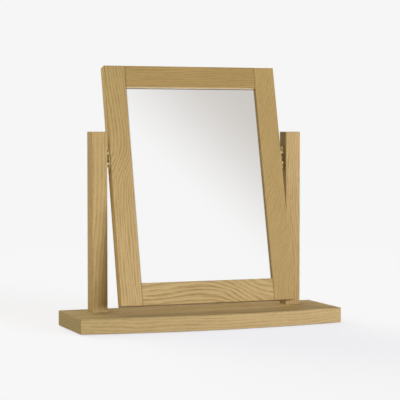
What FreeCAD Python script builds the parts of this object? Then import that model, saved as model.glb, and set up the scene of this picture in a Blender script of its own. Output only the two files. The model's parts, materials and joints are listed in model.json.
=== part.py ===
import FreeCAD, Part
import math
import os

from FreeCAD import Vector

# Oak swing mirror: a bow-fronted plinth carries two square posts, and a framed
# mirror tilts between them on a pair of friction swivels.
# Millimetres and degrees. X runs to the right, Y to the back and Z up.
# The origin is on the surface it stands on, under the middle of its outline.

# Plinth
base_end_depth = 175.0
base_bow = 30.0
base_thickness = 34.0
base_end_overhang = 57.5
base_arris = 1.5

# Felt pads under the plinth
pad_diameter = 25.0
pad_thickness = 2.0
pad_end_inset = 32.0
pad_edge_inset = 28.0

# Posts, each with a stub tenon let into the plinth
post_width = 36.0
post_depth = 36.0
post_above_pivot = 60.0
post_back_inset = 36.5
post_arris = 1.2
post_tenon_shoulder = 6.5
post_tenon_floor = 14.0

# One long screw pulls each post down from below
post_screw_diameter = 5.0
post_screw_head_diameter = 10.0
post_screw_head_height = 3.5
post_screw_length = 70.0
post_screw_sink = 6.0

# Mirror frame
frame_width = 415.0
frame_height = 546.0
frame_thickness = 24.0
stile_width = 50.0
top_rail_width = 50.0
bottom_rail_width = 50.0
frame_arris = 1.0
lip_thickness = 5.5
rebate_width = 9.0

# Mortise and tenon joints at the frame's corners
tenon_thickness = 8.0
tenon_outer_shoulder = 10.0
tenon_inner_shoulder = 4.0
tenon_end_wall = 20.0

# Mirror and back panel
glass_thickness = 4.0
silver_thickness = 0.3
panel_thickness = 5.0
panel_edge_chamfer = 1.0

# Flat points driven into the rebate's wall to hold the panel
point_length = 18.0
point_width = 5.5
point_thickness = 0.5
point_tip = 4.0
point_driven = 9.0
point_spacing = 125.0

# Tilt
tilt_angle = 13.5
frame_above_pivot = 212.0
frame_base_clearance = 8.0

# Swivel plates, one on each post and one on each stile
plate_length = 52.0
plate_width = 17.0
plate_thickness = 2.0
plate_hole_inset = 8.0
plate_screw_diameter = 4.0
plate_screw_head_diameter = 7.4
plate_screw_head_height = 2.0
plate_screw_length = 20.0
plate_head_gap = 1.0

# Swivel rivet, and the spring and the bush on it
rivet_diameter = 8.0
rivet_head_diameter = 13.0
rivet_head_height = 2.0
washer_diameter = 18.0
disc_spring_thickness = 0.9
disc_spring_height = 1.8

# Clearances
sheet_clearance = 1.0
glue_clearance = 0.1
tenon_end_clearance = 1.0
thread_clearance = 0.05
shank_clearance = 0.25
sink_clearance = 1.0
running_clearance = 0.05
washer_clearance = 0.15
face_clearance = 0.05
pocket_clearance = 1.0

# Places worked out from the sizes above
AXIS_X = Vector(1, 0, 0)
AXIS_Z = Vector(0, 0, 1)
ORIGIN = Vector(0, 0, 0)
SIDES = (("left", -1), ("right", 1))

swivel_gap = 2 * (plate_thickness + plate_screw_head_height) + plate_head_gap
frame_half_width = frame_width / 2
frame_half_depth = frame_thickness / 2
frame_below_pivot = frame_height - frame_above_pivot
post_inner_face = frame_half_width + swivel_gap
post_centre_x = post_inner_face + post_width / 2
base_half_length = post_inner_face + post_width + base_end_overhang

base_bottom = pad_thickness
base_top = base_bottom + base_thickness
pivot_height = base_top + frame_base_clearance + frame_below_pivot
post_top = pivot_height + post_above_pivot
tenon_foot = base_bottom + post_tenon_floor

# Depths: the origin lies midway between the bow's crown and the rearmost edge
tilt = math.radians(tilt_angle)
pivot_from_back = post_back_inset + post_depth / 2
frame_reach = frame_above_pivot * math.sin(tilt) + frame_half_depth * math.cos(tilt)
rear_overhang = max(frame_reach - pivot_from_back, 0.0)
base_back = (base_end_depth + base_bow - rear_overhang) / 2
base_corner = base_back - base_end_depth
base_front = base_corner - base_bow
pivot = Vector(0, base_back - pivot_from_back, pivot_height)

# Frame sizes in its own upright position, with the pivot axis through the origin
frame_bottom = -frame_below_pivot
frame_top = frame_above_pivot
opening_half_width = frame_half_width - stile_width
opening_bottom = frame_bottom + bottom_rail_width
opening_top = frame_top - top_rail_width
frame_front = -frame_half_depth
frame_back = frame_half_depth
glass_front = frame_front + lip_thickness
silver_front = glass_front + glass_thickness
panel_front = silver_front + silver_thickness
panel_back = panel_front + panel_thickness
rebate_half_width = opening_half_width + rebate_width
rebate_bottom = opening_bottom - rebate_width
rebate_top = opening_top + rebate_width


def block(x_range, y_range, z_range):
    """A box between the two ends of each range."""
    corner = Vector(min(x_range), min(y_range), min(z_range))
    size_x = abs(x_range[1] - x_range[0])
    size_y = abs(y_range[1] - y_range[0])
    size_z = abs(z_range[1] - z_range[0])
    return Part.makeBox(size_x, size_y, size_z, corner)


def along(start, direction, shape):
    """A shape made on +Z from the origin, turned onto a direction and moved to its start."""
    placed = shape.copy()
    placed.Placement = FreeCAD.Placement(start, FreeCAD.Rotation(AXIS_Z, direction))
    return placed


def rod(start, direction, diameter, length):
    """A plain round rod or hole."""
    return along(start, direction, Part.makeCylinder(diameter / 2, length))


def turned(profile):
    """A solid turned on +Z from a closed outline of (radius, height) points."""
    points = [Vector(radius, 0, height) for radius, height in profile]
    outline = Part.makePolygon(points + points[:1])
    return Part.Face(outline).revolve(ORIGIN, AXIS_Z, 360)


def runs_along(edge, axis):
    """Is this edge a straight line in that direction?"""
    ends = [vertex.Point for vertex in edge.Vertexes]
    return len(ends) == 2 and (ends[1] - ends[0]).cross(axis).Length < 1e-6


def lies_at(edge, axis, place):
    """Does this edge lie in the plane square to the axis at that place?"""
    return all(abs(vertex.Point.dot(axis) - place) < 1e-6 for vertex in edge.Vertexes)


def eased(bar, arris, edges):
    """A bar with the arris taken off these edges."""
    return bar.makeChamfer(arris, edges)


def tilted(shape):
    """A frame piece turned back about the pivot axis and lifted to the pivot."""
    moved = shape.copy()
    moved.rotate(ORIGIN, AXIS_X, -tilt_angle)
    moved.translate(pivot)
    return moved


def group(solids):
    """Like pieces kept as separate solids in one node."""
    return Part.makeCompound(solids)


def headed_screw(diameter, length, head_diameter, head_height):
    """A screw on +Z, with the underside of its head at the origin."""
    head = head_diameter / 2
    shank = diameter / 2
    return turned(
        [(0, -head_height), (head, -head_height), (head, 0), (shank, 0), (shank, length), (0, length)]
    )


def post_screw_start(sign):
    """Where the head of one post's screw seats, in the hole sunk in the plinth."""
    return Vector(sign * post_centre_x, pivot.y, base_bottom + post_screw_sink)


def post_tenon(sign, clearance, end_clearance):
    """The stub tenon under one post, or with clearances the mortise that takes it."""
    x = sign * post_centre_x
    half_x = post_width / 2 - post_tenon_shoulder + clearance
    half_y = post_depth / 2 - post_tenon_shoulder + clearance
    heights = (tenon_foot - end_clearance, base_top)
    return block((x - half_x, x + half_x), (pivot.y - half_y, pivot.y + half_y), heights)


def base_plinth():
    """The bow-fronted plinth, with a mortise and a sunk screw hole for each post."""
    back_left = Vector(-base_half_length, base_back, base_bottom)
    back_right = Vector(base_half_length, base_back, base_bottom)
    corner_right = Vector(base_half_length, base_corner, base_bottom)
    crown = Vector(0, base_front, base_bottom)
    corner_left = Vector(-base_half_length, base_corner, base_bottom)
    outline = Part.Wire(
        [
            Part.LineSegment(back_left, back_right).toShape(),
            Part.LineSegment(back_right, corner_right).toShape(),
            Part.Arc(corner_right, crown, corner_left).toShape(),
            Part.LineSegment(corner_left, back_left).toShape(),
        ]
    )
    slab = Part.Face(outline).extrude(AXIS_Z * base_thickness)
    sink_diameter = post_screw_head_diameter + 2 * sink_clearance
    cuts = []
    for _, sign in SIDES:
        start = post_screw_start(sign)
        cuts.append(post_tenon(sign, glue_clearance, tenon_end_clearance))
        cuts.append(rod(start, -AXIS_Z, sink_diameter, post_screw_sink))
        cuts.append(rod(start, AXIS_Z, post_screw_diameter + 2 * shank_clearance, post_tenon_floor))
    return eased(slab, base_arris, slab.Edges).cut(cuts)


def felt_pads():
    """Felt discs stuck under the plinth, set in from its ends and its long edges."""
    x = base_half_length - pad_end_inset
    rows = (base_back - pad_edge_inset, base_corner + pad_edge_inset)
    centres = [Vector(sign * x, y, 0) for y in rows for _, sign in SIDES]
    return group([rod(centre, AXIS_Z, pad_diameter, pad_thickness) for centre in centres])


def plate_screw_places(face):
    """The two screw places of a swivel plate that stands upright on a face."""
    reach = plate_length / 2 - plate_hole_inset
    return [face - AXIS_Z * reach, face + AXIS_Z * reach]


def swivel_sockets(face, into):
    """The holes behind a swivel plate: a pocket for the rivet and one hole for each screw."""
    pocket_diameter = rivet_head_diameter + 2 * pocket_clearance
    pocket_depth = rivet_head_height + face_clearance + pocket_clearance
    sockets = [rod(face, into, pocket_diameter, pocket_depth)]
    for place in plate_screw_places(face):
        sockets.append(rod(place, into, plate_screw_diameter + 2 * thread_clearance, plate_screw_length))
    return sockets


def post_face(sign):
    """The pivot's place on one post's inner face."""
    return Vector(sign * post_inner_face, pivot.y, pivot.z)


def stile_face(sign):
    """The pivot's place on one stile's outer face, in the upright frame."""
    return Vector(sign * frame_half_width, 0, 0)


def post(sign):
    """A square post with eased edges, drilled for its screw and for its swivel."""
    x = sign * post_centre_x
    half_y = post_depth / 2
    bar = block(
        (x - post_width / 2, x + post_width / 2), (pivot.y - half_y, pivot.y + half_y), (base_top, post_top)
    )
    free_edges = [edge for edge in bar.Edges if not lies_at(edge, AXIS_Z, base_top)]
    shape = eased(bar, post_arris, free_edges).fuse(post_tenon(sign, 0, 0))
    thread = post_screw_diameter + 2 * thread_clearance
    cuts = [rod(post_screw_start(sign), AXIS_Z, thread, post_screw_length)]
    return shape.cut(cuts + swivel_sockets(post_face(sign), AXIS_X * sign))


def post_screws():
    """The long screws that pull the posts down on the plinth."""
    screw = headed_screw(
        post_screw_diameter, post_screw_length, post_screw_head_diameter, post_screw_head_height
    )
    return group([along(post_screw_start(sign), AXIS_Z, screw) for _, sign in SIDES])


def rebate():
    """The space behind the lip for the glass and the panel, cut after the frame is joined."""
    return block(
        (-rebate_half_width, rebate_half_width), (glass_front, frame_back), (rebate_bottom, rebate_top)
    )


def corner_tenons(clearance, end_clearance):
    """The four tenons on the rails' ends, or with clearances the mortises that take them."""
    length = stile_width - tenon_end_wall + end_clearance
    depth = tenon_thickness / 2 + clearance
    low = (
        frame_bottom + tenon_outer_shoulder - clearance,
        rebate_bottom - tenon_inner_shoulder + clearance,
    )
    high = (
        rebate_top + tenon_inner_shoulder - clearance,
        frame_top - tenon_outer_shoulder + clearance,
    )
    tenons = []
    for heights in (low, high):
        for _, sign in SIDES:
            shoulder = sign * opening_half_width
            tenons.append(block((shoulder, shoulder + sign * length), (-depth, depth), heights))
    return tenons


def evenly(first, last, spacing):
    """Places between two corners, about a spacing apart and half a step from each corner."""
    count = max(round((last - first) / spacing), 1)
    step = (last - first) / count
    return [first + step * (index + 0.5) for index in range(count)]


def panel_points(clearance):
    """The flat points round the panel, or with a clearance the slits that they are driven into."""
    half = point_width / 2 + clearance
    tip = point_driven + clearance
    outline = [
        Vector(point_driven - point_length, -half, 0),
        Vector(tip - point_tip, -half, 0),
        Vector(tip, 0, 0),
        Vector(tip - point_tip, half, 0),
        Vector(point_driven - point_length, half, 0),
    ]
    face = Part.Face(Part.makePolygon(outline + outline[:1]))
    blade = face.extrude(AXIS_Z * (point_thickness + 2 * clearance))
    blade.translate(AXIS_Z * -clearance)
    blade.rotate(ORIGIN, AXIS_X, -90)
    points = []
    for height in evenly(rebate_bottom, rebate_top, point_spacing):
        points.append(pointing(blade, 0, Vector(rebate_half_width, panel_back, height)))
        points.append(pointing(blade, 180, Vector(-rebate_half_width, panel_back, height)))
    for across in evenly(-rebate_half_width, rebate_half_width, point_spacing):
        points.append(pointing(blade, -90, Vector(across, panel_back, rebate_top)))
        points.append(pointing(blade, 90, Vector(across, panel_back, rebate_bottom)))
    return points


def pointing(blade, angle, place):
    """A blade turned in the frame's plane and moved to its place on the rebate's wall."""
    placed = blade.copy()
    placed.rotate(ORIGIN, Vector(0, 1, 0), angle)
    placed.translate(place)
    return placed


def stile(sign):
    """A full-height side of the frame: rebated, mortised, and drilled for its swivel."""
    bar = block(
        (sign * opening_half_width, sign * frame_half_width),
        (frame_front, frame_back),
        (frame_bottom, frame_top),
    )
    cuts = [rebate()] + corner_tenons(glue_clearance, tenon_end_clearance)
    cuts += panel_points(thread_clearance)
    cuts += swivel_sockets(stile_face(sign), AXIS_X * -sign)
    return tilted(eased(bar, frame_arris, bar.Edges).cut(cuts))


def rail(low, high):
    """A rail between the stiles, tenoned at both ends and rebated."""
    bar = block((-opening_half_width, opening_half_width), (frame_front, frame_back), (low, high))
    long_edges = [edge for edge in bar.Edges if runs_along(edge, AXIS_X)]
    own_tenons = [tenon for tenon in corner_tenons(0, 0) if low < tenon.CenterOfMass.z < high]
    shape = eased(bar, frame_arris, long_edges).fuse(own_tenons)
    return tilted(shape.cut([rebate()] + panel_points(thread_clearance)))


def sheet(front, thickness):
    """A sheet that lies in the rebate, in the upright frame."""
    margin = rebate_width - sheet_clearance
    half = opening_half_width + margin
    heights = (opening_bottom - margin, opening_top + margin)
    return block((-half, half), (front, front + thickness), heights)


def back_panel():
    """The panel that keeps the glass in, chamfered round its back."""
    board = sheet(panel_front, panel_thickness)
    rim = [edge for edge in board.Edges if lies_at(edge, Vector(0, 1, 0), panel_back)]
    return tilted(board.makeChamfer(panel_edge_chamfer, rim))


def swivel_plate(face, direction, bore):
    """A round-ended plate standing on a face, bored for the rivet and for two screws."""
    half_width = plate_width / 2
    half_straight = plate_length / 2 - half_width
    bar = block((0, plate_thickness), (-half_width, half_width), (-half_straight, half_straight))
    ends = []
    for height in (-half_straight, half_straight):
        ends.append(rod(Vector(0, 0, height), AXIS_X, plate_width, plate_thickness))
    holes = [rod(ORIGIN, AXIS_X, bore, plate_thickness)]
    for place in plate_screw_places(ORIGIN):
        holes.append(rod(place, AXIS_X, plate_screw_diameter + 2 * shank_clearance, plate_thickness))
    plate = bar.fuse(ends).removeSplitter().cut(holes)
    if direction.x < 0:
        plate.rotate(ORIGIN, AXIS_Z, 180)
    plate.translate(face)
    return plate


def plate_screws(face, direction):
    """The two screws of a plate that stands on a face, with their heads in the gap."""
    screw = headed_screw(
        plate_screw_diameter,
        plate_thickness + plate_screw_length,
        plate_screw_head_diameter,
        plate_screw_head_height,
    )
    places = plate_screw_places(face + direction * plate_thickness)
    return [along(place, -direction, screw) for place in places]


def post_plate(sign):
    """The half of a swivel that is fixed to a post."""
    return swivel_plate(post_face(sign), AXIS_X * -sign, rivet_diameter + 2 * running_clearance)


def post_plate_screws():
    """The screws that hold the post plates."""
    screws = []
    for _, sign in SIDES:
        screws += plate_screws(post_face(sign), AXIS_X * -sign)
    return group(screws)


def frame_plate(sign):
    """The half of a swivel that is fixed to a stile and turns on the rivet."""
    plate = swivel_plate(stile_face(sign), AXIS_X * sign, rivet_diameter + 2 * running_clearance)
    return tilted(plate)


def frame_plate_screws():
    """The screws that hold the frame plates."""
    screws = []
    for _, sign in SIDES:
        screws += plate_screws(stile_face(sign), AXIS_X * sign)
    return tilted(group(screws))


def on_both_pivots(distance, shape):
    """A turned piece on each side of the pivot axis, set outwards from the stile by a distance."""
    pieces = []
    for _, sign in SIDES:
        start = pivot + AXIS_X * (sign * (frame_half_width + distance))
        pieces.append(along(start, AXIS_X * sign, shape))
    return group(pieces)


def swivel_rivets():
    """The pins: each has its head sunk in a stile and its tail closed over a post plate."""
    head = rivet_head_diameter / 2
    shank = rivet_diameter / 2
    under_head = -face_clearance
    outline = [
        (0, under_head - rivet_head_height),
        (head, under_head - rivet_head_height),
        (head, under_head),
        (shank, under_head),
        (shank, swivel_gap),
        (head, swivel_gap),
        (head, swivel_gap + rivet_head_height),
        (0, swivel_gap + rivet_head_height),
    ]
    return on_both_pivots(0, turned(outline))


def disc_springs():
    """The coned springs that press the bushes on the post plates and load the swivels."""
    hole = rivet_diameter / 2 + washer_clearance
    rim = washer_diameter / 2
    rise = disc_spring_height - disc_spring_thickness
    outline = [(hole, rise), (rim, 0), (rim, disc_spring_thickness), (hole, disc_spring_height)]
    return on_both_pivots(plate_thickness + face_clearance, turned(outline))


def friction_bushes():
    """The thick rings between the springs and the post plates."""
    hole = rivet_diameter / 2 + washer_clearance
    rim = washer_diameter / 2
    start = plate_thickness + face_clearance + disc_spring_height
    thickness = swivel_gap - plate_thickness - start
    outline = [(hole, 0), (rim, 0), (rim, thickness), (hole, thickness)]
    return on_both_pivots(start, turned(outline))


def build():
    """Every node of the assembly by name."""
    nodes = {
        "base_plinth": base_plinth(),
        "felt_pads": felt_pads(),
        "top_rail": rail(opening_top, frame_top),
        "bottom_rail": rail(frame_bottom, opening_bottom),
        "mirror_glass": tilted(sheet(glass_front, glass_thickness)),
        "mirror_silvering": tilted(sheet(silver_front, silver_thickness)),
        "back_panel": back_panel(),
        "panel_points": tilted(group(panel_points(0))),
        "post_screws": post_screws(),
        "post_plate_screws": post_plate_screws(),
        "frame_plate_screws": frame_plate_screws(),
        "swivel_rivets": swivel_rivets(),
        "disc_springs": disc_springs(),
        "friction_bushes": friction_bushes(),
    }
    sided = {
        "post": post,
        "stile": stile,
        "post_plate": post_plate,
        "frame_plate": frame_plate,
    }
    for side, sign in SIDES:
        for name, make in sided.items():
            nodes[f"{side}_{name}"] = make(sign)
    return nodes


def main():
    os.makedirs("parts", exist_ok=True)
    for name, shape in build().items():
        shape.exportStep(f"parts/{name}.step")


main()
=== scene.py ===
"""Looks of an oak swing mirror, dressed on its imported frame.

Every piece or group of like pieces has an operator in the sidebar. The oak pieces are cut
from imagined logs, so that rings, rays and end grain agree on all faces of a board.
"""

import json
import math
from typing import NamedTuple

import bmesh
import bpy
from bpy.props import FloatProperty, FloatVectorProperty, IntProperty, PointerProperty
from mathutils import Matrix, Vector


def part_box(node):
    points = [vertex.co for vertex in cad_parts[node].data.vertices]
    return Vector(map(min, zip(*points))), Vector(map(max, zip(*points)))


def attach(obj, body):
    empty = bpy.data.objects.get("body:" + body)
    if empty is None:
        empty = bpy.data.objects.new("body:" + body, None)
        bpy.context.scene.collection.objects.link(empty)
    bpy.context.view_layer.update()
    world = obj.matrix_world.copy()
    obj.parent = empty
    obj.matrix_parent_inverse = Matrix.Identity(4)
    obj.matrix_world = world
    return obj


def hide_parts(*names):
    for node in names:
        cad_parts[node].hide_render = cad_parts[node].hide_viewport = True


bl_info = {
    "name": "Oak Swing Mirror",
    "version": (1, 0, 0),
    "blender": (4, 5, 0),
    "location": "3D View > Sidebar > Swing Mirror",
    "description": "Dresses the packed frame of an oak swing mirror",
    "category": "Object",
}

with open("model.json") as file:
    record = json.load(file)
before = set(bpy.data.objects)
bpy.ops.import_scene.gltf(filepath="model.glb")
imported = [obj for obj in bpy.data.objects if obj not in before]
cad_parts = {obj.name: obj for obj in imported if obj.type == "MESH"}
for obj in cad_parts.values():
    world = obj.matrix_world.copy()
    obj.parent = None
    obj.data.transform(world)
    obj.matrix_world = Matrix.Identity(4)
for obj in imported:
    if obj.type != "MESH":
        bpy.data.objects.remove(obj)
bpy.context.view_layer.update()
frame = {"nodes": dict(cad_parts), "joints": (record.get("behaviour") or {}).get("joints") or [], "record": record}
MILLIMETRE = 0.001
# How far a seed shifts noise along each axis
SEED_STEP = (1.0, 1.7, 0.6)
SIDES = (("left", -1), ("right", 1))

# The frame leans back by this angle about the axis of its swivels
LEAN = math.radians(13.5)
PIVOT = Vector(frame["joints"][0]["pos_m"])

# Where the rails meet the stiles, in millimetres from the middle
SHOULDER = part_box("right_stile")[0].x / MILLIMETRE


def setting(kind, **limits):
    """A maker of one kind of setting that a user may change."""

    def make(name, description, default):
        return kind(name=name, description=description, default=default, **limits)

    return make


colour = setting(FloatVectorProperty, subtype="COLOR", size=3, min=0.0, max=1.0)
length = setting(FloatProperty, subtype="DISTANCE", unit="LENGTH", precision=5)
share = setting(FloatProperty, subtype="FACTOR", min=0.0, max=1.0)
strength = setting(FloatProperty, min=0.0)
radians = setting(FloatProperty, subtype="ANGLE", unit="ROTATION")
position = setting(FloatVectorProperty, subtype="TRANSLATION", unit="LENGTH", size=3)
focal_length = setting(FloatProperty, unit="CAMERA", min=1.0)
count = setting(IntProperty, min=12, max=96)


def angle(name, description, default):
    """An angle that a user may change, with its default in degrees."""
    return radians(name, description, math.radians(default))


class OakSettings(bpy.types.PropertyGroup):
    """Colours and grain of the lacquered oak."""

    late_wood: colour("Late wood", "Pale dense wood of each ring", (0.565, 0.402, 0.182))
    early_wood: colour("Early wood", "Darker open wood of each ring", (0.315, 0.200, 0.070))
    pores: colour("Pores", "Open pores of the early wood", (0.215, 0.128, 0.042))
    rays: colour("Rays", "Pale flecks where rays reach the face", (0.610, 0.450, 0.225))
    ring_width: length("Ring width", "Usual distance between growth rings", 0.0050)
    roughness: share("Roughness", "Roughness of the satin lacquer", 0.55)
    gloss: share("Gloss", "Strength of the lacquer's reflection", 0.03)


class MirrorSettings(bpy.types.PropertyGroup):
    """Colours of the glass, its silvering and what lies behind it."""

    silver: colour("Silver", "What the silvered glass reflects", (0.998, 0.998, 0.998))
    # The edge line is a painted shadow of the frame's lip on the glass
    line: colour("Edge line", "Fine line on the glass near the frame", (0.110, 0.080, 0.048))
    paint: colour("Back paint", "Grey paint over the silvering", (0.330, 0.340, 0.350))
    paint_roughness: share("Paint roughness", "Least roughness of the back paint", 0.5)
    board: colour("Back board", "Brown fibreboard behind the glass", (0.270, 0.160, 0.075))
    board_fibre: colour("Fibres", "Paler fibres pressed into the board", (0.385, 0.250, 0.130))
    board_roughness: share("Board roughness", "Least roughness of the back board", 0.72)
    board_gloss: share("Board gloss", "Strength of the back board's reflection", 0.25)


class FittingSettings(bpy.types.PropertyGroup):
    """Sizes and colours of the swivels, the screws and the pads."""

    zinc: colour("Zinc", "Steel with yellow zinc plating", (0.760, 0.620, 0.290))
    zinc_roughness: share("Zinc roughness", "Roughness of the zinc plating", 0.18)
    spring: colour("Spring steel", "Dark steel of the disc springs", (0.420, 0.350, 0.220))
    spring_roughness: share("Spring roughness", "Roughness of the disc springs", 0.3)
    nylon: colour("Nylon", "Brown nylon of the friction bushes", (0.200, 0.130, 0.065))
    nylon_roughness: share("Nylon roughness", "Least roughness of the bushes", 0.46)
    nylon_gloss: share("Nylon gloss", "Strength of the bushes' reflection", 0.3)
    felt: colour("Felt", "Brown felt under the plinth", (0.120, 0.075, 0.040))
    felt_roughness: share("Felt roughness", "Least roughness of the pads", 0.86)
    felt_sheen: share("Felt sheen", "Strength of the fuzz on the pads", 0.35)
    plate_screw_head: length("Plate screw head", "Diameter of a plate screw's head", 0.0074)
    plate_screw_rise: length("Plate screw rise", "Height of a plate screw's head", 0.0020)
    plate_screw_shank: length("Plate screw shank", "Diameter of a plate screw", 0.0040)
    plate_screw_length: length("Plate screw length", "From under the head to the tip", 0.0220)
    plate_screw_reach: length("Plate screw reach", "From the swivel's axis to a screw", 0.0180)
    post_screw_head: length("Post screw head", "Diameter of a post screw's head", 0.0100)
    post_screw_rise: length("Post screw rise", "Height of a post screw's head", 0.0035)
    post_screw_shank: length("Post screw shank", "Diameter of a post screw", 0.0050)
    post_screw_length: length("Post screw length", "From under the head to the tip", 0.0700)
    rivet_head: length("Rivet head", "Diameter of a rivet's heads", 0.0130)
    rivet_rise: length("Rivet rise", "Height of a rivet's heads", 0.0020)
    rivet_shank: length("Rivet shank", "Diameter of a rivet's shank", 0.0080)
    facets: count("Facets", "Facets round a turned piece", 36)


class StageSettings(bpy.types.PropertyGroup):
    """Floor, light and camera."""

    backdrop: colour("Backdrop", "Pale colour of floor and background", (0.922, 0.922, 0.922))
    dusk: colour("Upper wall", "Warm grey wall that the mirror shows", (0.612, 0.583, 0.552))
    floor_paint: colour("Floor paint", "Colour that the floor throws back", (0.86, 0.86, 0.86))
    floor_shade: share("Floor shade", "How much light and shade shows on the floor", 0.45)
    floor_lift: colour("Floor lift", "Makes the floor as pale as the room", (0.664, 0.670, 0.722))
    fill: colour("Fill tint", "Colour of the light from all round", (1.0, 0.955, 0.72))
    fill_behind: strength("Fill behind", "Strength of the light from behind", 0.54)
    fill_ahead: strength("Fill ahead", "Strength of the light from the other side", 0.22)
    fill_turn: angle("Fill turn", "Turn of the light from behind towards the left", 50)
    window: strength("Window", "Strength of the low light behind", 5.0)
    window_turn: angle("Window turn", "Turn of the low light behind towards the left", 18)
    window_height: angle("Window height", "Height of the low light above the floor", 15)
    window_width: angle("Window width", "How wide the low light looks from the mirror", 46)
    key: strength("Key", "Strength of the low front light", 4.8)
    key_tint: colour("Key tint", "Colour of the front light", (0.946, 0.95, 1.0))
    key_width: angle("Key width", "How wide the front light looks from the mirror", 40)
    key_height: angle("Key height", "Height of the front light above the floor", 0)
    key_turn: angle("Key turn", "Turn of the front light to the right", 30)
    camera_place: position("Camera place", "Where the camera stands", (-1.2363, -3.2406, 0.4392))
    camera_turn: angle("Camera turn", "Turn of the camera to the right", 20.778)
    camera_dip: angle("Camera dip", "How far the camera looks down", 2.563)
    lens: focal_length("Lens", "Focal length of the camera", 138.53)


class SwingMirrorSettings(bpy.types.PropertyGroup):
    """All settings of the swing mirror."""

    oak: PointerProperty(type=OakSettings)
    mirror: PointerProperty(type=MirrorSettings)
    fittings: PointerProperty(type=FittingSettings)
    stage: PointerProperty(type=StageSettings)


class Channel:
    """A socket of a finish that Python's arithmetic works on."""

    def __init__(self, finish, socket):
        self.finish = finish
        self.socket = socket

    def __getitem__(self, name):
        return Channel(self.finish, self.socket.node.outputs[name])

    def math(self, operation, *others):
        return self.finish.values(operation, self, *others)

    def __add__(self, other):
        return self.math("ADD", other)

    def __radd__(self, other):
        return self.finish.values("ADD", other, self)

    def __sub__(self, other):
        return self.math("SUBTRACT", other)

    def __rsub__(self, other):
        return self.finish.values("SUBTRACT", other, self)

    def __mul__(self, other):
        return self.math("MULTIPLY", other)

    def __rmul__(self, other):
        return self.finish.values("MULTIPLY", other, self)

    def __truediv__(self, other):
        return self.math("DIVIDE", other)

    def __rtruediv__(self, other):
        return self.finish.values("DIVIDE", other, self)

    def between(self, low, high):
        """Nothing at low, all at high, and a smooth step from one to the other."""
        options = {"interpolation_type": "SMOOTHSTEP"}
        inputs = {"Value": self, "From Min": low, "From Max": high}
        return self.finish.node("ShaderNodeMapRange", options, inputs)

    def band(self, rise, fall):
        """All between two steps, and nothing before the first and after the second."""
        return self.between(*rise) * (1 - self.between(*fall))

    def over(self, low, high):
        """Low where there is nothing, and high where there is all."""
        return low + (high - low) * self


class Finish:
    """The nodes of one material or of the world."""

    def __init__(self, owner):
        owner.use_nodes = True
        self.owner = owner
        self.tree = owner.node_tree
        self.tree.nodes.clear()

    def node(self, kind, options=None, inputs=None, output=0):
        """A node of that kind, with its options set first and then its sockets set or linked."""
        made = self.tree.nodes.new(kind)
        for name, value in (options or {}).items():
            setattr(made, name, value)
        for name, value in (inputs or {}).items():
            socket = made.inputs[name]
            if isinstance(value, Channel):
                self.tree.links.new(value.socket, socket)
            elif socket.type == "RGBA":
                socket.default_value = (*value[:3], 1.0)
            else:
                socket.default_value = value
        return Channel(self, made.outputs[output]) if made.outputs else None

    def values(self, operation, *inputs):
        return self.node("ShaderNodeMath", {"operation": operation}, dict(enumerate(inputs)))

    def blend(self, factor, first, second, how="MIX"):
        """Two colours mixed by a factor."""
        # The node's colour sockets come after those for values and vectors
        options = {"data_type": "RGBA", "blend_type": how}
        return self.node("ShaderNodeMix", options, {0: factor, 6: first, 7: second}, 2)

    def split(self, vector):
        return self.node("ShaderNodeSeparateXYZ", inputs={"Vector": vector})

    def joined(self, x, y, z):
        return self.node("ShaderNodeCombineXYZ", inputs={"X": x, "Y": y, "Z": z})

    def along(self, vector, direction):
        """How far a vector reaches along a direction."""
        options = {"operation": "DOT_PRODUCT"}
        return self.node("ShaderNodeVectorMath", options, {0: vector, 1: direction}, "Value")

    def place(self, centre=(0.0, 0.0, 0.0), lean=0.0):
        """Millimetres from a centre, along axes that lean back with the frame."""
        return self.node(
            "ShaderNodeMapping",
            {"vector_type": "TEXTURE"},
            {
                "Vector": self.node("ShaderNodeTexCoord", output="Object"),
                "Location": centre,
                "Rotation": (-lean, 0, 0),
                "Scale": (MILLIMETRE,) * 3,
            },
        )

    def noise(self, vector, lengths, seed, detail=2.0, roughness=0.5):
        """Noise whose blotches are about these lengths in millimetres."""
        stretched = self.node(
            "ShaderNodeMapping",
            {"vector_type": "POINT"},
            {
                "Vector": vector,
                "Location": [seed * x for x in SEED_STEP],
                "Scale": [1 / x for x in lengths],
            },
        )
        sockets = {"Vector": stretched, "Scale": 1.0, "Detail": detail, "Roughness": roughness}
        return self.node("ShaderNodeTexNoise", inputs=sockets)

    def even_noise(self, vector, size, **kind):
        """Noise whose blotches are about this size in millimetres every way."""
        return self.noise(vector, (size,) * 3, **kind)

    def bump(self, height, depth, strength):
        """A normal from a height that runs from nothing to a depth in metres."""
        sockets = {"Height": height, "Distance": depth, "Strength": strength}
        return self.node("ShaderNodeBump", inputs=sockets)

    def surface(self, **sockets):
        """The shader that the finish ends in."""
        inputs = {name.replace("_", " "): value for name, value in sockets.items()}
        shader = self.node("ShaderNodeBsdfPrincipled", inputs=inputs)
        self.node("ShaderNodeOutputMaterial", inputs={"Surface": shader})
        return self.owner


def settings():
    return bpy.context.scene.swing_mirror


def new_finish(name):
    return Finish(bpy.data.materials.new(name))


def scaled(tone, level):
    """A colour made that much paler or darker."""
    return [level * x for x in tone]


def dress(name, material):
    """Puts a finish on a node of the frame."""
    surfaces = frame["nodes"][name].data.materials
    surfaces.clear()
    surfaces.append(material)


def middle(name):
    """The middle of a node of the frame."""
    low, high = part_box(name)
    return (low + high) / 2


def lower_edge(name):
    """Where a node starts on the slope of the frame, in millimetres up from the pivot."""
    upwards = Vector((0.0, math.sin(LEAN), math.cos(LEAN)))
    points = frame["nodes"][name].data.vertices
    return min((point.co - PIVOT).dot(upwards) / MILLIMETRE for point in points)


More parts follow.
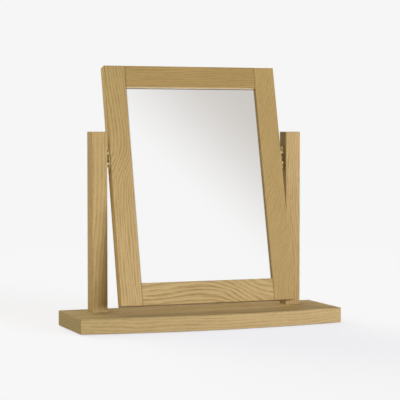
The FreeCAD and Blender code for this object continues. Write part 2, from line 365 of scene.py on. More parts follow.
class Board(NamedTuple):
    """How one oak piece lies in its log, in millimetres, and how its finish came out.

    axes: the piece's length, width and depth
    heart: where the log's middle lies from the piece's, across its width and depth
    kinks: places along the piece, how far each spreads, and the rings' sideways step there
    rings: width of the rings as a share of the usual one
    figure: how strongly the rings show
    tone: its own tint
    seed: where its noise starts
    fade: change in level from end to end, partly its own tone and partly painted light and shade
    lean: how far it leans back at rest
    edge: how much painted light brightens its front, left or lower side; a negative edge paints shade there
    shine: how much glossier that side is
    shoulder: where a rail meets the stiles, from its middle
    """

    axes: str
    heart: tuple
    kinks: tuple
    rings: float
    figure: float
    tone: tuple
    seed: float
    fade: float = 0.0
    lean: float = 0.0
    edge: float = 0.0
    shine: float = 0.0
    shoulder: float = 0.0


# Each board's edge paints light on one side, and shade where it is negative: the plinth's front, the left stile's
# left side, the top rail's underside and the right post's inner left side
BOARDS = {
    "base_plinth": Board(
        axes="XYZ", heart=(20, -520), kinks=((80, 160, 4),), rings=1.3, figure=0.66,
        tone=(0.968, 1.012, 1.15), seed=3.1, fade=0.08, edge=0.03,
    ),
    "left_post": Board(
        axes="ZXY", heart=(-60, 46), kinks=((-40, 90, 9),), rings=1.1, figure=0.68,
        tone=(0.945, 0.962, 1.02), seed=7.7,
    ),
    "right_post": Board(
        axes="ZXY", heart=(66, 30), kinks=((-60, 120, -6),), rings=0.9, figure=0.85,
        tone=(0.985, 0.995, 1.10), seed=12.4, fade=0.13, edge=-0.3,
    ),
    "left_stile": Board(
        axes="ZXY", heart=(-74, 24), kinks=((44, 40, 22), (190, 160, -14)), rings=1.15, figure=0.9,
        tone=(0.945, 0.96, 1.01), seed=17.9, fade=-0.25, lean=LEAN, edge=0.42,
    ),
    "right_stile": Board(
        axes="ZXY", heart=(190, 16), kinks=((110, 170, 74), (-140, 60, 48)), rings=1.2, figure=0.5,
        tone=(0.868, 0.862, 0.845), seed=23.2, fade=-0.08, lean=LEAN,
    ),
    # The top rail's low tone is partly painted shade, for the top of the frame being darker
    "top_rail": Board(
        axes="XZY", heart=(-90, 24), kinks=((40, 90, 3),), rings=1.0, figure=0.75,
        tone=(0.764, 0.747, 0.70), seed=29.6, lean=LEAN, edge=1.4, shine=1.0, shoulder=SHOULDER,
    ),
    "bottom_rail": Board(
        axes="XZY", heart=(60, 22), kinks=((84, 56, -34), (-70, 60, 5)), rings=1.7, figure=1.2,
        tone=(1.045, 1.085, 1.22), seed=36.5, lean=LEAN, shoulder=SHOULDER,
    ),
}


class Pattern(NamedTuple):
    """Noise along, across and into a board: its lengths in millimetres and its kind."""

    lengths: tuple
    shift: int
    detail: float
    roughness: float = 0.5


# The noise of the oak, with what each adds to the board's seed
PATTERNS = {
    "wander": Pattern((150, 42, 42), 0, 2.0),
    "quiver": Pattern((40, 7, 7), 5, 3.0, 0.6),
    "uneven": Pattern((400, 26, 26), 11, 1.0),
    "broken": Pattern((80, 5, 5), 19, 2.0),
    "dash": Pattern((32, 0.85, 0.85), 23, 3.0),
    "pore": Pattern((9, 0.34, 0.34), 31, 1.0),
    "fleck": Pattern((7, 2.4, 0.8), 37, 0.0),
    "streak": Pattern((95, 3.6, 3.6), 43, 2.0),
    "cloud": Pattern((190, 50, 50), 47, 1.0),
}

# How far the rings wander across and into a board, and quiver, in millimetres
WANDER_ACROSS, WANDER_INTO, QUIVER = 15, 8, 3.0
# How many rings their uneven width is worth
UNEVENNESS = 1.8
# The steps in a ring at which its open early wood and its dense late wood come and go
EARLY_WOOD = (0.0, 0.28), (0.28, 0.95)
DENSE_WOOD = (0.6, 1.0), (0.9, 1.0)
# The steps in the noise at which a part of the figure comes
BREAKS, RING_DASHES, LOOSE_DASHES = (0.25, 0.7), (0.36, 0.64), (0.48, 0.74)
PORES, FLECKS = (0.54, 0.68), (0.66, 0.78)
# How much is left of a ring between dashes and at breaks, and of pores outside the early wood
LEAST_DASH, LEAST_RING, LEAST_PORE = 0.3, 0.4, 0.25
# How strongly each part of the figure tints the wood
DENSE_TINT, DASH_TINT, FLECK_TINT, PORE_TINT, JOINT_TINT = 0.16, 0.24, 0.2, 0.55, 0.6
# Where the line at a rail's joint starts and is full, in millimetres short of the stile
JOINT_START, JOINT_FULL = 1.1, 0.3
# The level of the wood with no streak or cloud, and what each adds
PLAIN_LEVEL, STREAK_LEVEL, CLOUD_LEVEL = 0.86, 0.17, 0.11
# How much darker end grain is, and how much more the fade, partly painted shade, tells in blue
END_GRAIN, BLUE_FADE = 0.18, 0.5
# How squarely a face looks along an axis before it counts as an end or a side
SQUARE_ON = (0.6, 0.9)
# How much dense wood takes from the lacquer's roughness, and pores and streaks add
DENSE_GLOSS, PORE_ROUGHNESS, STREAK_ROUGHNESS = 0.05, 0.16, 0.08
# How far pores and rings sink, as shares of the depth of the grain
PORE_SINK, RING_SINK = 0.7, 0.3
GRAIN_DEPTH, GRAIN_STRENGTH = 0.12 * MILLIMETRE, 0.5
# Roughness and refraction of the lacquer on a glossy side
SHINE_ROUGHNESS, SHINE_IOR = 0.12, 2.3


def oak_noise(finish, board, kind, vector):
    """One pattern of the oak, as this board has it."""
    pattern = PATTERNS[kind]
    seed = board.seed + pattern.shift
    return finish.noise(vector, pattern.lengths, seed, pattern.detail, pattern.roughness)


def looks_along(finish, axis, lean):
    """One where a leaning piece looks along one of its axes, and minus one where it looks back."""
    along = Matrix.Rotation(-lean, 3, "X") @ Vector([float(axis == letter) for letter in "XYZ"])
    return finish.along(finish.node("ShaderNodeTexCoord", output="Normal"), along)


def in_the_log(finish, board, centre):
    """A point's run along its board, its place in board and grain, and how far the heart is."""
    split = finish.split(finish.place(centre, board.lean))
    run, across, depth = (split[axis] for axis in board.axes)
    straight = finish.joined(run, across, depth)
    wander = oak_noise(finish, board, "wander", straight) - 0.5
    quiver = oak_noise(finish, board, "quiver", straight) - 0.5
    side = across - board.heart[0] + WANDER_ACROSS * wander
    for place, spread, step in board.kinks:
        side = side - step * ((run - place) / spread).math("TANH")
    deep = depth - board.heart[1] + WANDER_INTO * wander
    radius = (side * side + deep * deep).math("SQRT") + QUIVER * quiver
    return run, straight, finish.joined(run, side, deep), radius


def oak_finish(name):
    """Lacquered oak with rings, open pores and ray flecks that run through the whole piece."""
    oak = settings().oak
    board = BOARDS[name]
    finish = new_finish(f"oak_{name}")
    run, straight, grain, radius = in_the_log(finish, board, middle(name))

    # The rings, uneven in width, and broken where the early wood is thin
    uneven = oak_noise(finish, board, "uneven", straight)
    ring_width = oak.ring_width / MILLIMETRE * board.rings
    ring = (radius / ring_width + UNEVENNESS * uneven).math("FRACT")
    early = ring.band(*EARLY_WOOD)
    dense = ring.band(*DENSE_WOOD)
    broken = oak_noise(finish, board, "broken", grain).between(*BREAKS)

    # Dashes of open grain, fine pores, ray flecks and cloudy patches
    dash = oak_noise(finish, board, "dash", grain)
    pore = oak_noise(finish, board, "pore", grain).between(*PORES)
    pores = pore * early.over(LEAST_PORE, 1)
    fleck = oak_noise(finish, board, "fleck", straight).between(*FLECKS)
    streak = oak_noise(finish, board, "streak", grain)
    cloud = oak_noise(finish, board, "cloud", straight)

    dashes = dash.between(*RING_DASHES).over(LEAST_DASH, 1)
    open_grain = early * dashes * broken.over(LEAST_RING, 1)
    loose = DASH_TINT * board.figure * dash.between(*LOOSE_DASHES)
    tint = finish.blend(board.figure * open_grain, oak.late_wood, oak.early_wood)
    tint = finish.blend(DENSE_TINT * dense * broken, tint, oak.early_wood)
    tint = finish.blend(loose, tint, oak.early_wood)
    tint = finish.blend(FLECK_TINT * fleck, tint, oak.rays)
    tint = finish.blend(PORE_TINT * pores, tint, oak.pores)
    if board.shoulder:
        start, full = board.shoulder - JOINT_START, board.shoulder - JOINT_FULL
        joint = run.math("ABSOLUTE").between(start, full)
        tint = finish.blend(JOINT_TINT * joint, tint, oak.pores)

    # Its tone and a fade that is partly painted shade, yellower where darker; end grain drinks more lacquer
    low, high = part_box(name)
    tone_and_shade_drift = board.fade / max(high - low) * MILLIMETRE * run
    lengthways, sideways = (looks_along(finish, axis, board.lean) for axis in board.axes[:2])
    ends = lengthways.math("ABSOLUTE").between(*SQUARE_ON)
    # The board's edge paints light on its front, left or lower side, and shade there where it is negative
    edge = (0 - sideways).between(*SQUARE_ON)
    level = PLAIN_LEVEL + STREAK_LEVEL * streak + CLOUD_LEVEL * cloud + tone_and_shade_drift
    level = level * (1 - END_GRAIN * ends) * (1 + board.edge * edge)
    red, green, blue = board.tone
    channels = {
        "Red": red * level,
        "Green": green * level,
        "Blue": blue * (level + BLUE_FADE * tone_and_shade_drift),
    }
    shade = finish.node("ShaderNodeCombineColor", inputs=channels)
    tint = finish.blend(1.0, tint, shade, "MULTIPLY")

    # Satin lacquer, duller in the pores, and glossy on a side that shines
    roughness = oak.roughness - DENSE_GLOSS * dense + PORE_ROUGHNESS * pores
    height = 1 - PORE_SINK * pores - RING_SINK * open_grain
    shine = {}
    if board.shine:
        shine = {"Coat_Roughness": SHINE_ROUGHNESS, "Coat_IOR": SHINE_IOR}
        shine["Coat_Weight"] = board.shine * edge
    return finish.surface(
        Base_Color=tint,
        Roughness=roughness + STREAK_ROUGHNESS * (streak - 0.5),
        Specular_IOR_Level=oak.gloss,
        Normal=finish.bump(height, GRAIN_DEPTH, GRAIN_STRENGTH),
        **shine,
    )


def dress_in_oak(*names):
    """Gives each of these nodes of the frame its own oak."""
    for name in names:
        dress(name, oak_finish(name))


# Lengths of the brushing on zinc and on springs, in millimetres
ZINC_BRUSHING, SPRING_BRUSHING = (0.35, 0.35, 6), (4, 0.3, 0.3)
# How dull the metal gets, and what brushing and clouds do to that and to its roughness
DULL_METAL, METAL_CLOUDS = 0.72, (0.3, 0.75)
BRUSHING_DULLS, CLOUDS_DULL = 0.35, 0.5
BRUSHING_ROUGHENS, CLOUDS_ROUGHEN = 0.16, 0.14
# Depth of fine marks on metal and nylon, and how strongly they show
MARK_DEPTH, MARK_STRENGTH = 0.02 * MILLIMETRE, 0.4


def metal_finish(name, tone, roughness, brushed):
    """Plated or bare steel with fine brushing and cloudy patches."""
    finish = new_finish(name)
    spot = finish.place(PIVOT)
    brushing = finish.noise(spot, brushed, seed=2.0, detail=3.0)
    cloud = finish.even_noise(spot, size=5, seed=9.0)
    dull = BRUSHING_DULLS * brushing + CLOUDS_DULL * cloud.between(*METAL_CLOUDS)
    rougher = roughness + BRUSHING_ROUGHENS * (brushing - 0.5) + CLOUDS_ROUGHEN * cloud
    return finish.surface(
        Base_Color=finish.blend(dull, tone, scaled(tone, DULL_METAL)),
        Metallic=1.0,
        Roughness=rougher,
        Normal=finish.bump(brushing, MARK_DEPTH, MARK_STRENGTH),
    )


def zinc_finish():
    """The zinc plating that all the steel fittings share."""
    fittings = settings().fittings
    known = bpy.data.materials.get("yellow_zinc")
    return known or metal_finish(
        "yellow_zinc", fittings.zinc, fittings.zinc_roughness, ZINC_BRUSHING
    )


# The steps at which the painted shadow line on the glass comes and goes, in millimetres inwards from the frame
EDGE_SHADOW = (1.1, 1.4), (2.4, 3.2)
# How strongly it shows at the stiles
STILE_SHADOW = 0.4
# The silver's level under a full bloom, and the roughness that it gives
BLOOM_LEVEL, BLOOM_ROUGHNESS = 0.995, 0.004


def mirror_finish():
    """Silvered glass with a faint bloom, and a painted shadow line at the top rail and the stiles."""
    mirror = settings().mirror
    finish = new_finish("silvered_glass")
    spot = finish.place(PIVOT, LEAN)
    bloom = finish.even_noise(spot, size=60, seed=4.0)
    tint = finish.blend(0.5 * bloom, mirror.silver, scaled(mirror.silver, BLOOM_LEVEL))
    split = finish.split(spot)
    # The frame's lip casts a painted shadow line on the glass, fainter at the stiles
    stile_shadow = (SHOULDER - split["X"].math("ABSOLUTE")).band(*EDGE_SHADOW)
    rail_shadow = (lower_edge("top_rail") - split["Z"]).band(*EDGE_SHADOW)
    tint = finish.blend(rail_shadow.math("MAXIMUM", STILE_SHADOW * stile_shadow), tint, mirror.line)
    return finish.surface(Base_Color=tint, Metallic=1.0, Roughness=BLOOM_ROUGHNESS * bloom)


# How dark the paint's specks are, how strongly they show, and the roughness that they add
SPECK_LEVEL, SPECK_TINT, SPECK_ROUGHNESS = 0.8, 0.6, 0.2


def back_paint_finish():
    """Grey paint over the silvering's back."""
    mirror = settings().mirror
    finish = new_finish("silvering_paint")
    spot = finish.place(PIVOT, LEAN)
    speckle = finish.even_noise(spot, size=1.5, seed=6.0, detail=3.0)
    tint = finish.blend(SPECK_TINT * speckle, mirror.paint, scaled(mirror.paint, SPECK_LEVEL))
    roughness = mirror.paint_roughness + SPECK_ROUGHNESS * speckle
    return finish.surface(Base_Color=tint, Roughness=roughness)


# The steps at which the board's fibres and long splinters come
BOARD_FIBRES, BOARD_SPLINTERS = (0.35, 0.75), (0.62, 0.75)
# How strongly splinters and dark clouds tint the board, and how dark the clouds are
SPLINTER_TINT, BOARD_CLOUD_TINT, BOARD_CLOUD_LEVEL = 0.6, 0.4, 0.8
# The roughness that fibres add, their depth and how strongly it shows
FIBRE_ROUGHNESS, FIBRE_DEPTH, FIBRE_STRENGTH = 0.2, 0.15 * MILLIMETRE, 0.6


def fibreboard_finish():
    """Brown fibreboard with short pressed fibres."""
    mirror = settings().mirror
    finish = new_finish("back_fibreboard")
    spot = finish.place(PIVOT, LEAN)
    fibres = finish.noise(spot, lengths=(1.4, 1.4, 0.5), seed=1.0, detail=4.0, roughness=0.65)
    splinters = finish.noise(spot, lengths=(0.5, 0.5, 2.2), seed=8.0, detail=1.0)
    cloud = finish.even_noise(spot, size=90, seed=14.0)
    tint = finish.blend(fibres.between(*BOARD_FIBRES), mirror.board, mirror.board_fibre)
    splintered = SPLINTER_TINT * splinters.between(*BOARD_SPLINTERS)
    tint = finish.blend(splintered, tint, mirror.board_fibre)
    tint = finish.blend(BOARD_CLOUD_TINT * cloud, tint, scaled(mirror.board, BOARD_CLOUD_LEVEL))
    return finish.surface(
        Base_Color=tint,
        Roughness=mirror.board_roughness + FIBRE_ROUGHNESS * fibres,
        Specular_IOR_Level=mirror.board_gloss,
        Normal=finish.bump(fibres, FIBRE_DEPTH, FIBRE_STRENGTH),
    )


# How pale a scuff is, how strongly it shows, and the roughness that it adds
SCUFF_LEVEL, SCUFF_TINT, SCUFF_ROUGHNESS = 1.6, 0.5, 0.2


def nylon_finish():
    """Brown nylon, turned smooth and slightly scuffed."""
    fittings = settings().fittings
    finish = new_finish("brown_nylon")
    spot = finish.place(PIVOT)
    scuff = finish.noise(spot, lengths=(0.4, 2.5, 2.5), seed=3.0, detail=3.0)
    scuffed = scaled(fittings.nylon, SCUFF_LEVEL)
    return finish.surface(
        Base_Color=finish.blend(SCUFF_TINT * scuff, fittings.nylon, scuffed),
        Roughness=fittings.nylon_roughness + SCUFF_ROUGHNESS * scuff,
        Specular_IOR_Level=fittings.nylon_gloss,
        Normal=finish.bump(scuff, MARK_DEPTH, MARK_STRENGTH),
    )


# How dark and how pale the felt gets, and what fine fibres and tufts do to that
FELT_DARK, FELT_PALE, FELT_FIBRE_TINT, FELT_TUFT_TINT = 0.7, 1.7, 0.6, 0.3
# The roughness that fibres add, and the height of tufts against that of fibres
FELT_FIBRE_ROUGHNESS, TUFT_HEIGHT = 0.12, 0.6
FELT_DEPTH, FELT_STRENGTH, FUZZ_ROUGHNESS = 0.4 * MILLIMETRE, 0.8, 0.6


def felt_finish():
    """Pressed brown felt with loose fibres."""
    fittings = settings().fittings
    finish = new_finish("brown_felt")
    spot = finish.place()
    fibre = finish.even_noise(spot, size=0.5, seed=2.0, detail=4.0, roughness=0.7)
    tuft = finish.even_noise(spot, size=2.2, seed=7.0)
    dark, pale = (scaled(fittings.felt, level) for level in (FELT_DARK, FELT_PALE))
    return finish.surface(
        Base_Color=finish.blend(FELT_FIBRE_TINT * fibre + FELT_TUFT_TINT * tuft, dark, pale),
        Roughness=fittings.felt_roughness + FELT_FIBRE_ROUGHNESS * fibre,
        Sheen_Weight=fittings.felt_sheen,
        Sheen_Roughness=FUZZ_ROUGHNESS,
        Normal=finish.bump(fibre + TUFT_HEIGHT * tuft, FELT_DEPTH, FELT_STRENGTH),
    )


# Points nearer than this are one point, and edges sharper than this stay sharp
MERGE_DISTANCE = 1e-7
SHARP_EDGE = math.radians(35)
# A screw's head from its top to its underside, in shares of its diameter and its height
SCREW_HEAD = ((0.36, 1.0), (0.415, 0.9), (0.465, 0.7), (0.495, 0.4), (0.5, 0.12), (0.49, 0.0))
# Length of a screw's tip as a share of its shank's diameter
TIP_LENGTH = 1.2
# Span and width of a cross slot as shares of the head's diameter, and its depth as one of the rise
SLOT_SPAN, SLOT_WIDTH, SLOT_DEPTH = 0.56, 0.15, 0.62
# Width of a cross slot's floor as a share of its mouth's
SLOT_TAPER = 0.55
# Turn of a plate screw's slot in radians, and what each metre above the swivel's axis adds
PLATE_SCREW_TURN, PLATE_SCREW_CHANGE = 0.6, 40
# Turn of a post screw's slot, one way on the left and the other way on the right
POST_SCREW_TURN = 0.4
# A rivet's head from its top to its rim, in shares of its radius and its height
RIVET_HEAD = ((0.0, 1.0), (0.55, 0.96), (0.85, 0.72), (0.98, 0.35), (1.0, 0.0))
# The play under a rivet's head, which lets the frame's plate turn
RIVET_PLAY = 0.05 * MILLIMETRE
# A pad's edge from its top to its underside: millimetres in from its rim, and a share of its height
PAD_EDGE = ((0.2, 1.0), (0.0, 0.6), (0.1, 0.3), (0.5, 0.08), (1.1, 0.0))


def turned(outline, facets):
    """A bmesh turned on Z from an open outline of (radius, height) points."""
    shape = bmesh.new()
    points = [shape.verts.new((radius, 0.0, height)) for radius, height in outline]
    profile = [shape.edges.new(pair) for pair in zip(points, points[1:])]
    bmesh.ops.spin(
        shape,
        geom=points + profile,
        cent=(0, 0, 0),
        axis=(0, 0, 1),
        angle=math.tau,
        steps=facets,
        use_merge=True,
    )
    bmesh.ops.remove_doubles(shape, verts=shape.verts, dist=MERGE_DISTANCE)
    return shape


def once(parts):
    """Parts of a bmesh in their order, each of them once."""
    return list(dict.fromkeys(parts))


def cross_slot(shape, span, width, depth, height):
    """Sinks a tapered cross slot in the open top of a turned head."""
    rim = [edge for edge in shape.edges if edge.is_boundary]
    third = span / 3
    grid = bmesh.ops.create_grid(shape, x_segments=3, y_segments=3, size=span / 2)
    squares = once(face for vert in grid["verts"] for face in vert.link_faces)
    inset = [min(map(abs, face.calc_center_median()[:2])) for face in squares]
    corners = [face for face, across in zip(squares, inset) if across > third / 2]
    slot = [face for face in squares if face not in corners]
    bmesh.ops.delete(shape, geom=corners, context="FACES")
    mouth = once(vert for face in slot for vert in face.verts)
    for axis in (0, 1):
        for vert in mouth:
            if abs(vert.co[axis]) < third:
                vert.co[axis] = math.copysign(width / 2, vert.co[axis])
    outline = once(edge for face in slot for edge in face.edges if edge.is_boundary)
    bmesh.ops.translate(shape, verts=mouth, vec=(0, 0, height))
    bmesh.ops.bridge_loops(shape, edges=rim + outline)
    sunk = bmesh.ops.extrude_face_region(shape, geom=slot)
    floor = [part for part in sunk["geom"] if isinstance(part, bmesh.types.BMVert)]
    bmesh.ops.translate(shape, verts=floor, vec=(0, 0, -depth))
    bmesh.ops.scale(shape, verts=floor, vec=(SLOT_TAPER, SLOT_TAPER, 1.0))
    bmesh.ops.delete(shape, geom=[face for face in slot if face.is_valid], context="FACES")


def screw_shape(kind):
    """A domed screw on Z, with the underside of its head at the origin and its tip below."""
    fittings = settings().fittings
    sizes = (getattr(fittings, f"{kind}_{part}") for part in ("head", "rise", "shank", "length"))
    head, rise, shank, reach = sizes
    outline = [(width * head, height * rise) for width, height in SCREW_HEAD]
    radius = shank / 2
    outline += [(radius, 0.0), (radius, TIP_LENGTH * shank - reach), (0.0, -reach)]
    shape = turned(outline, fittings.facets)
    cross_slot(shape, SLOT_SPAN * head, SLOT_WIDTH * head, SLOT_DEPTH * rise, rise)
    bmesh.ops.remove_doubles(shape, verts=shape.verts, dist=MERGE_DISTANCE)
    return shape


def mesh_of(name, shape):
    """The mesh of a bmesh, which is freed."""
    mesh = bpy.data.meshes.new(name)
    shape.to_mesh(mesh)
    shape.free()
    return mesh


def add_object(name, data):
    """A new object in the scene."""
    made = bpy.data.objects.new(name, data)
    bpy.context.scene.collection.objects.link(made)
    return made


def piece_of(name, shape, places, material, body, stands_for):
    """One object with a copy of a shape at each place, riding on a body for a node of the frame."""
    bmesh.ops.recalc_face_normals(shape, faces=shape.faces)
    source = mesh_of(f"{name}_source", shape)
    whole = bmesh.new()
    for place in places:
        first = len(whole.verts)
        whole.from_mesh(source)
        whole.verts.ensure_lookup_table()
        bmesh.ops.transform(whole, matrix=place, verts=whole.verts[first:])
    bpy.data.meshes.remove(source)
    mesh = mesh_of(name, whole)
    mesh.shade_smooth()
    mesh.set_sharp_from_angle(angle=SHARP_EDGE)
    mesh.materials.append(material)
    made = add_object(name, mesh)
    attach(made, body)
    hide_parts(stands_for)


def plated_piece(name, shape, places, body, stands_for):
    """One zinc-plated object with a copy of a shape at each place."""
    piece_of(name, shape, places, zinc_finish(), body, stands_for)


def seat(spot, direction, turn=0.0):
    """The place of a piece whose Z looks in a direction, and which is turned about it."""
    upright = Vector(direction).to_track_quat("Z", "Y").to_matrix().to_4x4()
    return Matrix.Translation(spot) @ upright @ Matrix.Rotation(turn, 4, "Z")


def plate_screw_places(face, sign, lean):
    """The places of the two screws in each plate on faces at that distance from the middle."""
    reach = settings().fittings.plate_screw_reach
    places = []
    for _, side in SIDES:
        for step in (-reach, reach):
            spot = PIVOT + Vector((side * face, step * math.sin(lean), step * math.cos(lean)))
            turn = PLATE_SCREW_TURN + PLATE_SCREW_CHANGE * step + side
            places.append(seat(spot, (sign * side, 0, 0), turn))
    return places


class Undoable:
    """What the operators share."""

    bl_options = {"REGISTER", "UNDO"}


class SWINGMIRROR_OT_plinth(Undoable, bpy.types.Operator):
    """Oak for the bow-fronted plinth"""

    bl_idname = "swing_mirror.plinth"
    bl_label = "Plinth"

    def execute(self, context):
        dress_in_oak("base_plinth")
        return {"FINISHED"}


class SWINGMIRROR_OT_posts(Undoable, bpy.types.Operator):
    """Oak for the two square posts"""

    bl_idname = "swing_mirror.posts"
    bl_label = "Posts"

    def execute(self, context):
        dress_in_oak("left_post", "right_post")
        return {"FINISHED"}


class SWINGMIRROR_OT_frame(Undoable, bpy.types.Operator):
    """Oak for the stiles and the rails of the mirror's frame"""

    bl_idname = "swing_mirror.frame"
    bl_label = "Stiles and rails"

    def execute(self, context):
        dress_in_oak("left_stile", "right_stile", "top_rail", "bottom_rail")
        return {"FINISHED"}


class SWINGMIRROR_OT_mirror(Undoable, bpy.types.Operator):
    """Glass and silvering"""

    bl_idname = "swing_mirror.mirror"
    bl_label = "Mirror"

    def execute(self, context):
        dress("mirror_glass", mirror_finish())
        dress("mirror_silvering", back_paint_finish())
        return {"FINISHED"}


class SWINGMIRROR_OT_back(Undoable, bpy.types.Operator):
    """Fibreboard panel behind the glass, and the points that hold it"""

    bl_idname = "swing_mirror.back"
    bl_label = "Back panel and points"

    def execute(self, context):
        dress("back_panel", fibreboard_finish())
        dress("panel_points", zinc_finish())
        return {"FINISHED"}


class SWINGMIRROR_OT_swivels(Undoable, bpy.types.Operator):
    """Plates, rivets, disc springs and friction bushes of the swivels"""

    bl_idname = "swing_mirror.swivels"
    bl_label = "Swivels"

    def execute(self, context):
        fittings = settings().fittings
        for side, _ in SIDES:
            dress(f"{side}_post_plate", zinc_finish())
            dress(f"{side}_frame_plate", zinc_finish())
        steel = metal_finish(
            "dark_spring_steel", fittings.spring, fittings.spring_roughness, SPRING_BRUSHING
        )
        dress("disc_springs", steel)
        dress("friction_bushes", nylon_finish())

        shape = self.rivet_shape(fittings)
        axis = Vector((0.0, PIVOT.y, PIVOT.z))
        places = [seat(axis, (sign, 0, 0)) for _, sign in SIDES]
        plated_piece("swivel_pins", shape, places, "stand", "swivel_rivets")
        return {"FINISHED"}

    def rivet_shape(self, fittings):
        """A rivet with two heads, on Z as far from the origin as it is from the middle."""
        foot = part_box("right_frame_plate")[0].x - RIVET_PLAY
        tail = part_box("right_post_plate")[1].x
        head = fittings.rivet_head / 2
        shank = fittings.rivet_shank / 2
        dome = [(width * head, height * fittings.rivet_rise) for width, height in RIVET_HEAD]
        outline = [(radius, foot - height) for radius, height in dome]
        outline += [(shank, foot), (shank, tail)]
        outline += [(radius, tail + height) for radius, height in reversed(dome)]
        return turned(outline, fittings.facets)


class SWINGMIRROR_OT_plate_screws(Undoable, bpy.types.Operator):
    """Cross-slotted screws of the swivel plates"""

    bl_idname = "swing_mirror.plate_screws"
    bl_label = "Plate screws"

    def execute(self, context):
        groups = (
            ("post_plate", "stand", -1, 0.0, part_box("right_post_plate")[0].x),
            ("frame_plate", "mirror_frame", 1, LEAN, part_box("right_frame_plate")[1].x),
        )
        for plate, body, sign, lean, face in groups:
            shape = screw_shape("plate_screw")
            places = plate_screw_places(face, sign, lean)
            plated_piece(f"{plate}_slotted_screws", shape, places, body, f"{plate}_screws")
        return {"FINISHED"}


class SWINGMIRROR_OT_post_screws(Undoable, bpy.types.Operator):
    """Long screws sunk in the plinth from below"""

    bl_idname = "swing_mirror.post_screws"
    bl_label = "Post screws"

    def execute(self, context):
        shape = screw_shape("post_screw")
        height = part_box("post_screws")[0].z + settings().fittings.post_screw_rise
        places = []
        for side, sign in SIDES:
            spot = Vector((middle(f"{side}_post").x, PIVOT.y, height))
            places.append(seat(spot, (0, 0, -1), POST_SCREW_TURN * sign))
        plated_piece("post_slotted_screws", shape, places, "stand", "post_screws")
        return {"FINISHED"}


class SWINGMIRROR_OT_felt_pads(Undoable, bpy.types.Operator):
    """Soft-edged felt pads under the plinth"""

    bl_idname = "swing_mirror.felt_pads"
    bl_label = "Felt pads"

    def execute(self, context):
        low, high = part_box("felt_pads")
        # The record's mounts stand in the middle of the pads
        radius = high.x - max(mount["pos_m"][0] for mount in frame["record"]["mounts"])
        edge = [(radius - inset * MILLIMETRE, height * high.z) for inset, height in PAD_EDGE]
        shape = turned([(0.0, high.z), *edge, (0.0, low.z)], settings().fittings.facets)
        places = []
        for x in (low.x + radius, high.x - radius):
            for y in (low.y + radius, high.y - radius):
                places.append(Matrix.Translation((x, y, 0.0)))
        piece_of("felt_discs", shape, places, felt_finish(), "stand", "felt_pads")
        return {"FINISHED"}


# The middle of the line where the room's wall turns darker, to the right of straight ahead and
# up, and how far to the right and up in the mirror it darkens from there
WALL_TURN, WALL_RISE = math.radians(22.6), math.radians(22.7)
WALL_RIGHT, WALL_UP = 0.796, 0.605
# The steps across that line and up from the horizon in which the darker wall comes
WALL_EDGE, WALL_FOOT = (-0.008, 0.071), (0.0, 0.12)
# The shares of the window's half width at which its light starts and is full
WINDOW_START, WINDOW_FULL = 1.4, 0.6
# Half the floor's width in metres, and where it turns into the backdrop, in millimetres
FLOOR_REACH, FLOOR_HAZE = 60.0, (1000, 3200)
# How strongly the floor's faint mottle shows, its darkest level and its size in millimetres
MOTTLE_TINT, MOTTLE_LEVEL, MOTTLE_SIZE = 0.04, 0.97, 700
SENSOR_WIDTH = 36.0


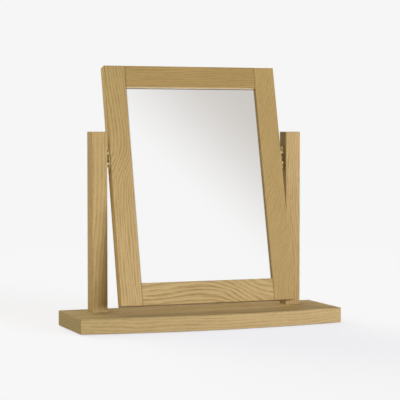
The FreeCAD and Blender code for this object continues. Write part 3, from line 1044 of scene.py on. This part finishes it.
class SWINGMIRROR_OT_stage(Undoable, bpy.types.Operator):
    """Pale floor, soft light and the camera"""

    bl_idname = "swing_mirror.stage"
    bl_label = "Stage"

    def execute(self, context):
        stage = settings().stage
        context.scene.view_settings.view_transform = "Standard"
        self.make_world(context, stage)
        self.make_floor(stage)
        self.make_key_light(stage)
        self.make_camera(context, stage)
        return {"FINISHED"}

    def seen_rays(self, finish):
        """The camera's own rays, and those with the rays that metal and glass pass on to it."""
        camera_ray = finish.node("ShaderNodeLightPath", output="Is Camera Ray")
        passed = camera_ray["Is Glossy Ray"].math("MAXIMUM", camera_ray["Is Transmission Ray"])
        return camera_ray, camera_ray.math("MAXIMUM", passed)

    def make_world(self, context, stage):
        """Light from all round with a low window behind, and the pale room that shows."""
        world = bpy.data.worlds.new("soft_room")
        context.scene.world = world
        finish = Finish(world)
        camera_ray, seen = self.seen_rays(finish)
        direction = finish.node("ShaderNodeTexCoord", output="Generated")

        # The room, darker up and to the right, which only metal and glass show
        slant = finish.along(direction, self.upper_wall())
        height = finish.split(direction)["Z"]
        wall = slant.between(*WALL_EDGE) * height.between(*WALL_FOOT) * (1 - camera_ray)
        room = finish.blend(wall, stage.backdrop, stage.dusk)

        # The light that falls on the pieces
        levels = (stage.fill_ahead, stage.fill_behind, stage.window)
        ahead, behind, low = (scaled(stage.fill, level) for level in levels)
        rearwards = self.towards(finish, direction, stage.fill_turn, 0.0)
        fill = finish.blend(0.5 + 0.5 * rearwards, ahead, behind)
        near_window = self.towards(finish, direction, stage.window_turn, stage.window_height)
        half = stage.window_width / 2
        start, full = math.cos(WINDOW_START * half), math.cos(WINDOW_FULL * half)
        fill = finish.blend(near_window.between(start, full), fill, low)

        tint = finish.blend(seen, fill, room)
        shader = finish.node("ShaderNodeBackground", inputs={"Color": tint})
        finish.node("ShaderNodeOutputWorld", inputs={"Surface": shader})

    def towards(self, finish, direction, turn, height):
        """One straight behind, turned to the left and raised by that, and minus one opposite."""
        level = math.cos(height)
        spot = (-math.sin(turn) * level, math.cos(turn) * level, math.sin(height))
        return finish.along(direction, spot)

    def upper_wall(self):
        """Across the line in the room where its wall turns darker, up and to the right."""
        right = Vector((math.cos(WALL_TURN), math.sin(WALL_TURN), 0.0))
        back = Vector((-math.sin(WALL_TURN), math.cos(WALL_TURN), 0.0))
        up = math.sin(WALL_RISE) * back + math.cos(WALL_RISE) * Vector((0.0, 0.0, 1.0))
        return WALL_RIGHT * right + WALL_UP * up

    def make_floor(self, stage):
        """A wide floor that throws light back, keeps the shadow and looks as pale as the room."""
        finish = new_finish("pale_floor")
        _, seen = self.seen_rays(finish)
        spot = finish.place()
        mottle = MOTTLE_TINT * finish.even_noise(spot, MOTTLE_SIZE, seed=5.0)
        paint = finish.blend(mottle, stage.floor_paint, scaled(stage.floor_paint, MOTTLE_LEVEL))
        thrown = finish.node("ShaderNodeBsdfDiffuse", inputs={"Color": paint})

        # What shows is the floor with its shade made fainter, and the backdrop further off
        faint = finish.blend(stage.floor_shade, (0, 0, 0), paint)
        matt = finish.node("ShaderNodeBsdfDiffuse", inputs={"Color": faint})
        lift = finish.node("ShaderNodeEmission", inputs={"Color": stage.floor_lift})
        near = finish.node("ShaderNodeAddShader", inputs={0: matt, 1: lift})
        haze = finish.node("ShaderNodeEmission", inputs={"Color": stage.backdrop})
        away = finish.node("ShaderNodeVectorMath", {"operation": "LENGTH"}, {0: spot}, "Value")
        far = away.between(*FLOOR_HAZE)
        shown = finish.node("ShaderNodeMixShader", inputs={0: far, 1: near, 2: haze})
        whole = finish.node("ShaderNodeMixShader", inputs={0: seen, 1: thrown, 2: shown})
        finish.node("ShaderNodeOutputMaterial", inputs={"Surface": whole})

        shape = bmesh.new()
        bmesh.ops.create_grid(shape, x_segments=1, y_segments=1, size=FLOOR_REACH)
        floor = add_object("floor", mesh_of("floor", shape))
        floor.data.materials.append(finish.owner)

    def make_key_light(self, stage):
        """A broad light low in front and to the right, which the mirror doesn't show."""
        lamp = bpy.data.lights.new("front_light", "SUN")
        lamp.energy = stage.key
        lamp.color = stage.key_tint
        lamp.angle = stage.key_width
        light = add_object("front_light", lamp)
        light.rotation_euler = (math.pi / 2 - stage.key_height, 0.0, stage.key_turn)
        light.visible_glossy = False
        light.visible_transmission = False

    def make_camera(self, context, stage):
        """The camera at the photograph's angle."""
        lens = bpy.data.cameras.new("camera")
        lens.sensor_width = SENSOR_WIDTH
        lens.lens = stage.lens
        camera = add_object("camera", lens)
        camera.location = stage.camera_place
        camera.rotation_euler = (math.pi / 2 - stage.camera_dip, 0.0, -stage.camera_turn)
        context.scene.camera = camera


OPERATORS = (
    SWINGMIRROR_OT_plinth,
    SWINGMIRROR_OT_posts,
    SWINGMIRROR_OT_frame,
    SWINGMIRROR_OT_mirror,
    SWINGMIRROR_OT_back,
    SWINGMIRROR_OT_swivels,
    SWINGMIRROR_OT_plate_screws,
    SWINGMIRROR_OT_post_screws,
    SWINGMIRROR_OT_felt_pads,
    SWINGMIRROR_OT_stage,
)


class SWINGMIRROR_PT_sidebar(bpy.types.Panel):
    """Lists the swing mirror's settings and pieces"""

    bl_idname = "SWINGMIRROR_PT_sidebar"
    bl_label = "Oak Swing Mirror"
    bl_space_type = "VIEW_3D"
    bl_region_type = "UI"
    bl_category = "Swing Mirror"

    def draw(self, context):
        for title in ("oak", "mirror", "fittings", "stage"):
            group = getattr(settings(), title)
            box = self.layout.box()
            box.label(text=title.capitalize())
            for name in group.__annotations__:
                box.prop(group, name)
        column = self.layout.column(align=True)
        for operator in OPERATORS:
            column.operator(operator.bl_idname)


CLASSES = (
    OakSettings,
    MirrorSettings,
    FittingSettings,
    StageSettings,
    SwingMirrorSettings,
    *OPERATORS,
    SWINGMIRROR_PT_sidebar,
)


def register():
    for each in CLASSES:
        bpy.utils.register_class(each)
    bpy.types.Scene.swing_mirror = PointerProperty(type=SwingMirrorSettings)


def unregister():
    del bpy.types.Scene.swing_mirror
    for each in reversed(CLASSES):
        bpy.utils.unregister_class(each)


def main():
    register()
    pieces = bpy.ops.swing_mirror
    pieces.plinth()
    pieces.posts()
    pieces.frame()
    pieces.mirror()
    pieces.back()
    pieces.swivels()
    pieces.plate_screws()
    pieces.post_screws()
    pieces.felt_pads()
    pieces.stage()


if __name__ == "__main__":
    main()
